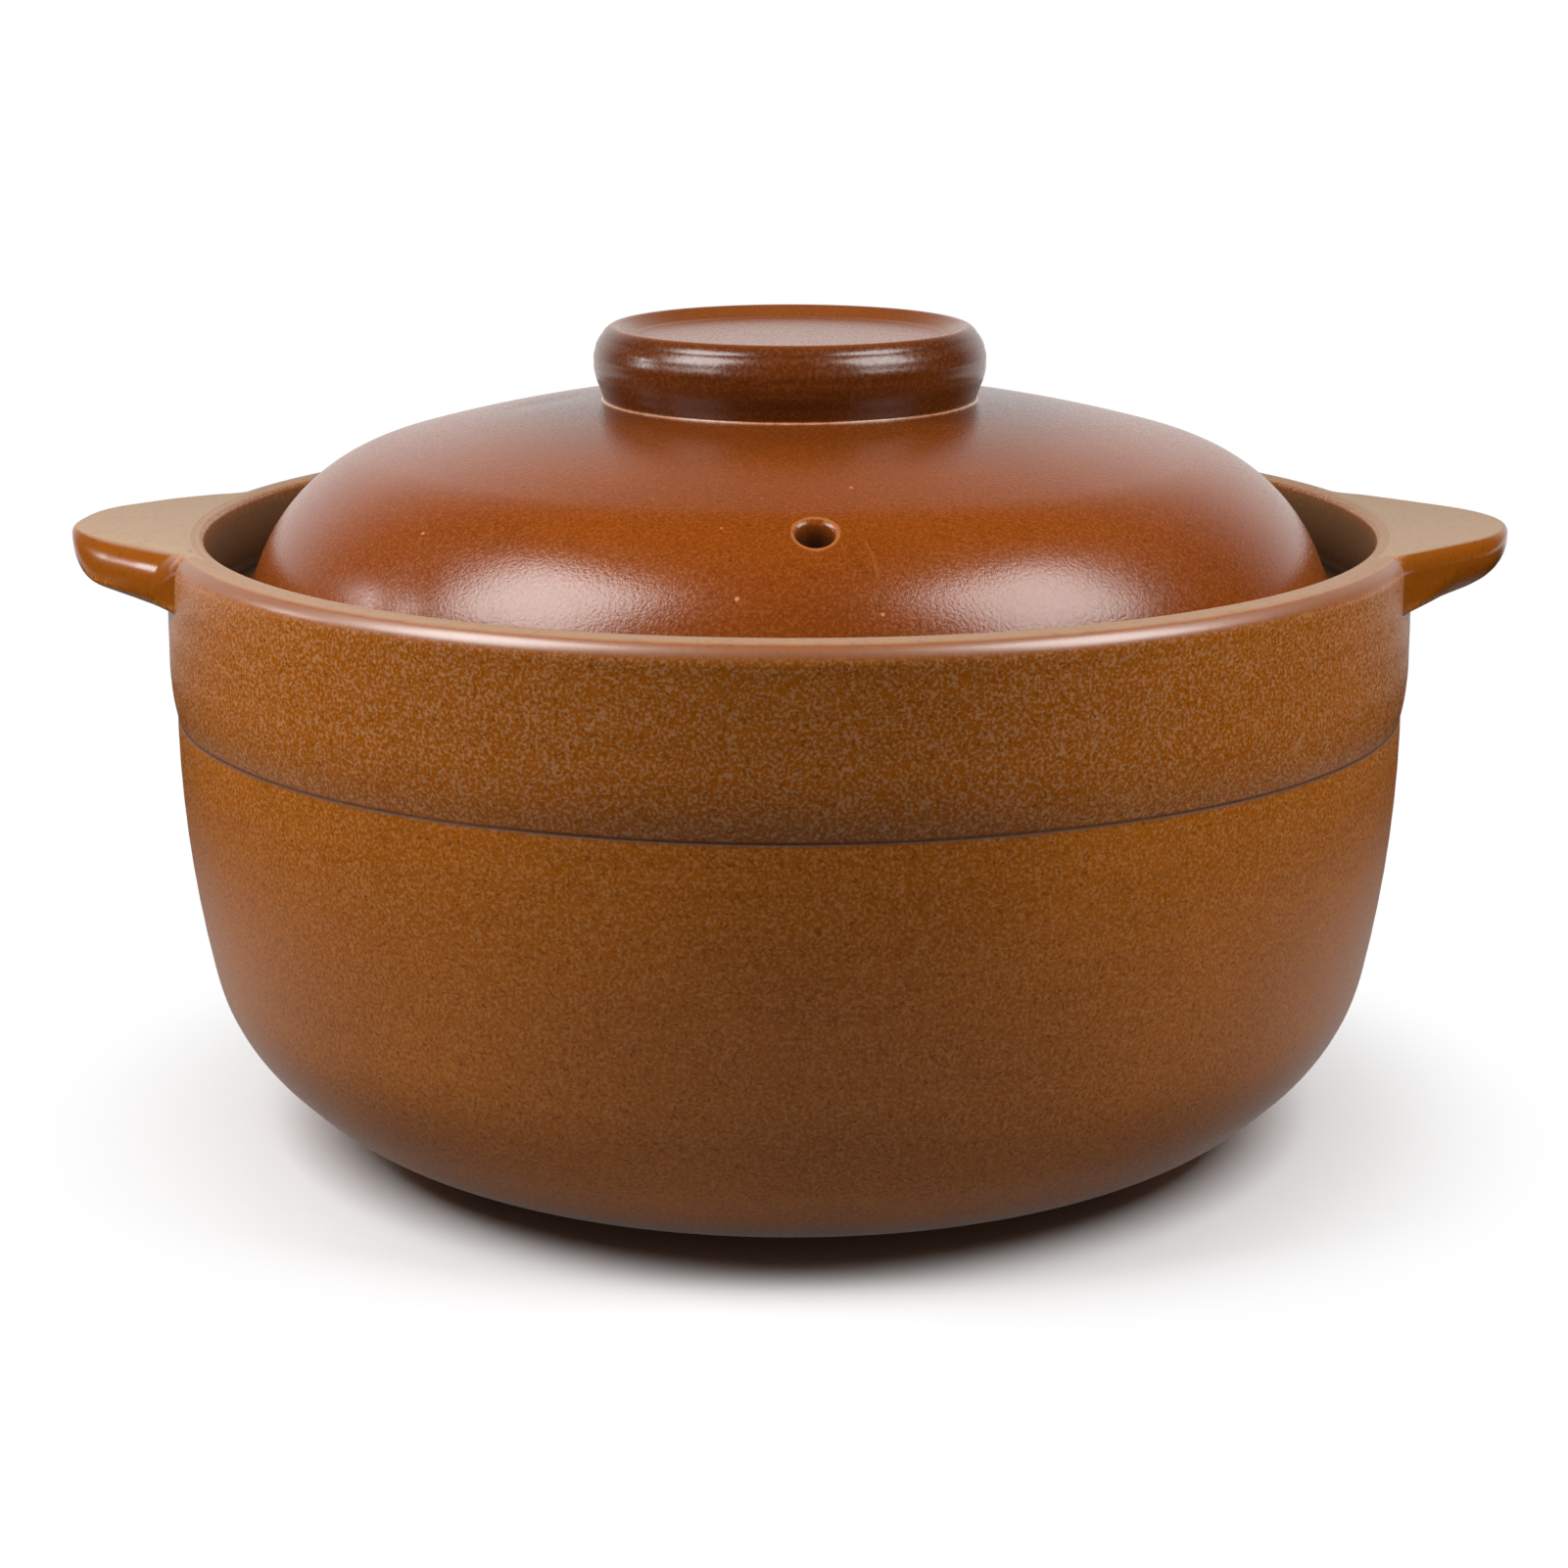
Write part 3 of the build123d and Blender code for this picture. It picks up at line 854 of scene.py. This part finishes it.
# The domed lid: its outline carried round the axis. Rows and columns close up round the steam vent, whose
# square of cells is left out, turned into a circle and joined to the inner face by rounded rims and a bore.
def makeDome(look):
    runs = look["inside"] + look["outside"]
    patch, cells, holeCells, ventRadius = look["patch"], look["cells"], look["holeCells"], look["ventRadius"]
    outline = walkOutline(look["start"], runs)
    lengths = lengthsAlong(outline)
    split = len(walkOutline(look["start"], look["inside"]))
    innerEnd, outerStart = split - look["footRows"], split + look["footRows"]
    middleIn = np.interp(ventRadius, outline[:innerEnd, 0], lengths[:innerEnd])
    outerRadius, outerHeight = outline[outerStart:][::-1].T
    middleOut = np.interp(ventRadius, outerRadius, lengths[outerStart:][::-1])
    # rows and columns: those of the outline away from the vent, and even ones in the patch round it
    half = np.linspace(-patch, patch, 2 * cells + 1)
    clear = patch + look["patchGap"]
    keep = (np.abs(lengths - middleIn) > clear) & (np.abs(lengths - middleOut) > clear)
    along = np.sort(np.concatenate([lengths[keep], middleIn + half, middleOut + half]))[1:]
    fine = walkOutline(look["start"], [(length, turn, look["fineSpacing"]) for length, turn, _ in runs])
    fineLengths = lengthsAlong(fine)
    fineLengths *= lengths[-1] / fineLengths[-1]
    radius = np.interp(along, fineLengths, fine[:, 0])[:, None]
    height = np.interp(along, fineLengths, fine[:, 1])[:, None]
    lean = np.arctan2(np.abs(np.gradient(height[:, 0])), np.abs(np.gradient(radius[:, 0])))[:, None]
    ventAngle = front + math.radians(look["ventTurn"])
    narrow = patch / ventRadius
    wide = np.linspace(narrow, 2 * np.pi - narrow, look["columns"] + 1)[1:-1]
    angle = ventAngle + np.concatenate([half / ventRadius, wide])[None]
    column = np.arange(angle.size)
    across = np.where(column <= 2 * cells, np.abs(column - cells) / cells, np.inf)[None]
    rowIn = np.argmin(np.abs(along - middleIn))
    rowOut = np.argmin(np.abs(along - middleOut))
    row = np.arange(len(along))[:, None]
    radius, height, angle = np.broadcast_arrays(radius, height, angle)
    for middle, rounding in ((rowIn, look["innerRound"]), (rowOut, look["rimRound"])):
        count = np.minimum(np.maximum(np.abs(row - middle) / cells, across), 1)
        beside = radius * np.sin(angle - ventAngle)
        outward = radius * np.cos(angle - ventAngle) - ventRadius
        beside, outward = openVent(look, beside, outward, count, look["boreRadius"] + rounding)
        inPatch = count < 1
        newRadius = np.hypot(beside, ventRadius + outward)
        nearby = fine[np.abs(fineLengths - along[middle]) < 3 * patch]
        nearby = nearby[np.argsort(nearby[:, 0])]
        newHeight = np.interp(newRadius, nearby[:, 0], nearby[:, 1])
        angle = np.where(inPatch, ventAngle + np.arctan2(beside, ventRadius + outward), angle)
        height = np.where(inPatch, newHeight, height)
        radius = np.where(inPatch, newRadius, radius)
    rows, columns = radius.shape
    points = turnedPoints(radius, height, angle).reshape(-1, 3)
    # each dent pushes the shell in along its own normal, as a bell over the distance in plan
    inward = -turnedPoints(np.sin(lean), np.cos(lean), angle).reshape(-1, 3)
    free = np.hypot(points[:, 0], points[:, 1]) > look["dentFree"]
    for x, y, depth, width in look["dents"]:
        hollow = depth * free * bell(np.hypot(points[:, 0] - x, points[:, 1] - y), 0, width)
        points = points + hollow[:, None] * inward
    # cells inside the two square holes are left out
    cellRow = np.arange(rows - 1)[:, None] + 0.5
    cellColumn = np.arange(columns)[None] + 0.5
    inRow = (np.abs(cellRow - rowIn) < holeCells) | (np.abs(cellRow - rowOut) < holeCells)
    quads, fans = turnedFaces(rows, columns, inRow & (np.abs(cellColumn - cells) < holeCells))
    # the border of a hole as a ring of point numbers; the inner one runs the same way in plan
    span = np.arange(-holeCells, holeCells)
    still = np.full(span.size, holeCells)
    ringRow = np.concatenate([-still, span, still, -span])
    ringColumn = np.concatenate([span, still, -span, -still]) + cells
    outerRing = (rowOut + ringRow) * columns + ringColumn
    innerRing = (rowIn - ringRow) * columns + ringColumn
    axis = ventRadius * np.array([math.cos(ventAngle), math.sin(ventAngle)])
    slope = np.diff(np.interp([ventRadius - 1, ventRadius + 1], outerRadius, outerHeight))[0] / 2
    loops = ventRings(look, points[outerRing], points[innerRing], axis, slope)
    firstLoop = len(points) + 2
    numbers = firstLoop + np.arange(loops[..., 0].size).reshape(loops.shape[:2])
    chain = np.vstack([outerRing, numbers, innerRing])
    ahead = np.roll(chain, -1, axis=1)
    tube = np.stack([chain[:-1], ahead[:-1], ahead[1:], chain[1:]], axis=-1).reshape(-1, 4)
    everything = np.vstack([points, endsOf(outline), loops.reshape(-1, 3)])
    # painted shade down the bore, from nothing at the top to full further down
    boreDepth = np.zeros(len(everything))
    boreDepth[firstLoop:] = np.repeat(ease(np.arange(len(loops)), *look["boreDark"]), loops.shape[1])
    fromVent = np.hypot(everything[:, 0] - axis[0], everything[:, 1] - axis[1])
    worn = bell(fromVent, look["boreRadius"] + look["wornOut"], look["wornWidth"]) * (1 - boreDepth)
    worn = worn * (everything[:, 2] > look["wornAbove"])
    # painted shade round the foot of the knob: the lid is darker where the knob's dark reflection and shade
    # fall
    shadeFrom, shadeFull = look["knobShadeRadii"]
    knobShade = ease(shadeFrom - np.hypot(everything[:, 0], everything[:, 1]), 0, shadeFrom - shadeFull)
    knobShade = look["knobShadeShare"] * knobShade * (everything[:, 2] > look["knobShadeAbove"])
    # only the points that a face uses are kept, with new numbers
    used = np.unique(np.concatenate([quads.ravel(), fans.ravel(), tube.ravel()]))
    fresh = np.full(len(everything), -1)
    fresh[used] = np.arange(len(used))
    # recess holds the painted shade in the bore and round the knob
    masks = {"edge": worn[used], "recess": np.maximum(boreDepth, knobShade)[used]}
    faces = (fresh[quads], fresh[fans], fresh[tube])
    putPiece("lidShell", everything[used], faces, masks, lidMaterial, "lid_dome", "lid")


makeDome(dome)


knob = {
    "columns": 320,
    "start": (0, 136.9),
    "outline": [
        (34.95, 0, 8), (0, 90, 1), (0.35, 0, 0.2), (0, 80, 1), arcRun(0.5, -99.2, 0.1),  # foot and its hollow
        (4.0, 0, 0.5), (0.5, 10, 0.1),  # taper and break
        arcRun(15.7, 9.2, 0.3), arcRun(7.72, 50, 0.2),  # bulge
        arcRun(1.5, 71.18, 0.12), (2.74, 0, 0.6), arcRun(2.5, -31.18, 0.25), (25.0, 0, 4),  # crest and dish
    ],
    "sideRadius": 33,  # the side lies outside this
    "sideHeights": (138, 139.5),  # where the rings come in
    "oval": [(2, 1, 0, 0.1)],
    "ringPitch": 2.3,
    "ringDepth": 0.03,
    "ringSway": [(1, 0, 0, 0.5)],
    "grooveHeight": 149.3,
    "grooveWave": [(1, 1, 0, 0.1)],
    "grooveWidth": 0.3,
    "grooveDepth": 0.07,
    # share of painted shade in the groove
    "grooveDark": 0.5,
    "crest": (151.0, 0.3),  # height and width of the worn line
    "crestRadius": 31,
    "crestWear": 0.4,
    # height and width of the painted highlight round the knob's foot
    "foot": (137.4, 0.25),
    # where the painted light on the dish ends, and above which height it lies
    "dishRadius": 33.8,
    "dishAbove": 145,
}


# The dished knob: its outline carried round the axis, with a shallow turned groove under the crest as a
# bell-shaped dip, and faint turning rings as a sine of the height.
def makeKnob(look):
    outline = walkOutline(look["start"], look["outline"])
    angle = allRound(look["columns"])
    radius, height = outline[1:, :1], outline[1:, 1:]
    onSide = radius > look["sideRadius"]
    side = onSide * ease(height, *look["sideHeights"]) * ease(look["crest"][0] - height, 0, 1)
    grooveHeight = look["grooveHeight"] + waves(angle, look["grooveWave"])
    dip = onSide * bell(height, grooveHeight, look["grooveWidth"])
    rings = turningRings(height, look["ringPitch"], waves(angle, look["ringSway"]))
    shaped = radius - look["grooveDepth"] * dip
    shaped = shaped + side * (look["ringDepth"] * rings + waves(angle, look["oval"]))
    crest = look["crestWear"] * bell(height, *look["crest"]) * (radius > look["crestRadius"])
    # a pale line round the foot of the knob, laid on as wear: a painted highlight in the fillet where the
    # knob meets the lid
    foot = bell(height, *look["foot"]) * onSide
    # the dish on top of the knob, painted lighter as if lit
    dish = ease(look["dishRadius"] - radius, 0, 1) * (height > look["dishAbove"])
    # recess: painted shade in the groove
    masks = {"edge": np.maximum(crest, foot), "recess": look["grooveDark"] * dip, "dish": dish}
    grid = turnedPoints(shaped, height, angle)
    putTurned("knobTurned", grid, endsOf(outline), masks, knobMaterial, "lid_knob", "lid")


makeKnob(knob)


view = {"eye": (-1.1, -688.8, 231.45), "tilt": 13.70, "lens": 85.6, "sensor": 36.0}  # tilt in degrees


def makeCamera(look):
    data = bpy.data.cameras.new("photoCamera")
    data.lens = look["lens"]
    data.sensor_width = look["sensor"]
    data.sensor_fit = "HORIZONTAL"
    camera = addObject("photoCamera", data)
    camera.location = [part * mm for part in look["eye"]]
    camera.rotation_euler = (math.radians(90 - look["tilt"]), 0, 0)
    bpy.context.scene.camera = camera


makeCamera(view)


softbox = {
    "place": (0.29, -0.17, 0.40),  # the right lamp; the left one mirrors it
    "aim": (0, -0.03, 0.1),
    "size": (0.24, 0.25),
    "powerLeft": 2.3,
    "powerRight": 1.95,
}

strip = {  # a small lamp low at the left, for the shine of that ear
    "place": (0.44, 0.025, 0.262),
    "aim": (0, -0.03, 0.1),
    "size": (0.08, 0.05),
    "power": 0.18,
}


def makeLamp(name, side, power, look):
    data = bpy.data.lights.new(name, "AREA")
    data.shape = "RECTANGLE"
    data.energy = power
    data.size, data.size_y = look["size"]
    lamp = addObject(name, data)
    across, depth, height = look["place"]
    lamp.location = (side * across, depth, height)
    lamp.rotation_euler = (Vector(look["aim"]) - lamp.location).to_track_quat("-Z", "Y").to_euler()
    lamp.visible_camera = False


makeLamp("softboxLeft", -1, softbox["powerLeft"], softbox)
makeLamp("softboxRight", 1, softbox["powerRight"], softbox)
makeLamp("stripLeft", -1, strip["power"], strip)


def seenDirectly(tree, path):  # 1 for the camera, and for what is seen through clear things
    return larger(tree, path.outputs["Is Camera Ray"], path.outputs["Is Transmission Ray"])


room = {
    "ambient": 0.04,
    "backdrop": 1.0,
    "backdropDepth": (0.45, 0.85),  # how far to the back a ray points
    "backdropRise": (0.8, 0.2),
}


# The room: white for the camera and for clear things, a white backdrop low behind the pot, else dim.
def makeWorld(look):
    world = bpy.data.worlds.new("studioRoom")
    bpy.context.scene.world = world
    tree = emptyTree(world)
    path = addNode(tree, "ShaderNodeLightPath")
    gloss, diffuse = path.outputs["Is Glossy Ray"], path.outputs["Is Diffuse Ray"]
    direction = addNode(tree, "ShaderNodeTexCoord").outputs["Generated"]
    way = addNode(tree, "ShaderNodeSeparateXYZ", {0: direction})
    back = fitRange(tree, way.outputs[1], *look["backdropDepth"])
    behind = times(tree, back, fitRange(tree, way.outputs[2], *look["backdropRise"]))
    backdrop = times(tree, times(tree, larger(tree, gloss, diffuse), behind), look["backdrop"])
    shown = sums(tree, "ADD", seenDirectly(tree, path), backdrop)
    strength = sums(tree, "ADD", shown, times(tree, diffuse, look["ambient"]))
    background = addNode(tree, "ShaderNodeBackground", {"Color": white, "Strength": strength})
    addNode(tree, "ShaderNodeOutputWorld", {"Surface": background.outputs[0]})


makeWorld(room)


sheet = {
    "half": 4.0,
    "seenPaint": (0.8, 0.8, 0.8, 1),
    "nearPaint": (0.47, 0.46, 0.45, 1),
    "farPaint": (0.06, 0.06, 0.06, 1),
    "fade": (0.085, 0.15),  # distances where the shadow begins to go over to white, and where it is white
    "near": (0.15, 0.34, 1.0, 0.0),  # two distances, and the share at each
    "mirrorBack": (0.32, 0.54),
    "mirrorSides": (-0.8, 0.1, 0.16, 0.5),  # two sines of the direction, and the share at each
    "bounceSides": (-0.95, -0.2, 0.68, 1.0),
}


# The floor: a plain pale sheet that keeps the shadow near the pot and goes over to white further out. In the
# gloss of the pot it is white only behind, and a dim grey close by.
def makeFloor(look):
    half = look["half"]
    corners = [(-half, -half, 0), (half, -half, 0), (half, half, 0), (-half, half, 0)]
    mesh = bpy.data.meshes.new("studioFloor")
    mesh.from_pydata(corners, [], [(0, 1, 2, 3)])
    floor = addObject("studioFloor", mesh)
    material = bpy.data.materials.new("studioFloor")
    tree = emptyTree(material)
    path = addNode(tree, "ShaderNodeLightPath")
    gloss, seen = path.outputs["Is Glossy Ray"], seenDirectly(tree, path)
    place = objectPlace(tree)
    distance = addNode(tree, "ShaderNodeVectorMath", {0: place}, operation="LENGTH").outputs["Value"]
    depth = addNode(tree, "ShaderNodeSeparateXYZ", {0: place}).outputs[1]
    toBack = sums(tree, "DIVIDE", depth, distance)
    near = fitRange(tree, distance, *look["near"])
    mirrored = times(tree, near, fitRange(tree, toBack, *look["mirrorSides"]))
    mirrored = larger(tree, fitRange(tree, depth, *look["mirrorBack"]), mirrored)
    lit = times(tree, near, fitRange(tree, toBack, *look["bounceSides"]))
    bounce = mixPaint(tree, lit, look["farPaint"], look["nearPaint"])
    sheetPaint = mixPaint(tree, seen, bounce, look["seenPaint"])
    diffuse = addNode(tree, "ShaderNodeBsdfDiffuse", {"Color": sheetPaint})
    strength = sums(tree, "MULTIPLY_ADD", gloss, mirrored, seen)
    glow = addNode(tree, "ShaderNodeEmission", {"Color": white, "Strength": strength})
    share = sums(tree, "MULTIPLY_ADD", fitRange(tree, distance, *look["fade"]), seen, gloss)
    both = addNode(tree, "ShaderNodeMixShader", {0: share, 1: diffuse.outputs[0], 2: glow.outputs[0]})
    addNode(tree, "ShaderNodeOutputMaterial", {"Surface": both.outputs[0]})
    mesh.materials.append(material)


makeFloor(sheet)
bpy.context.scene.view_settings.view_transform = "Standard"
print("camera, lamps, room and floor made")
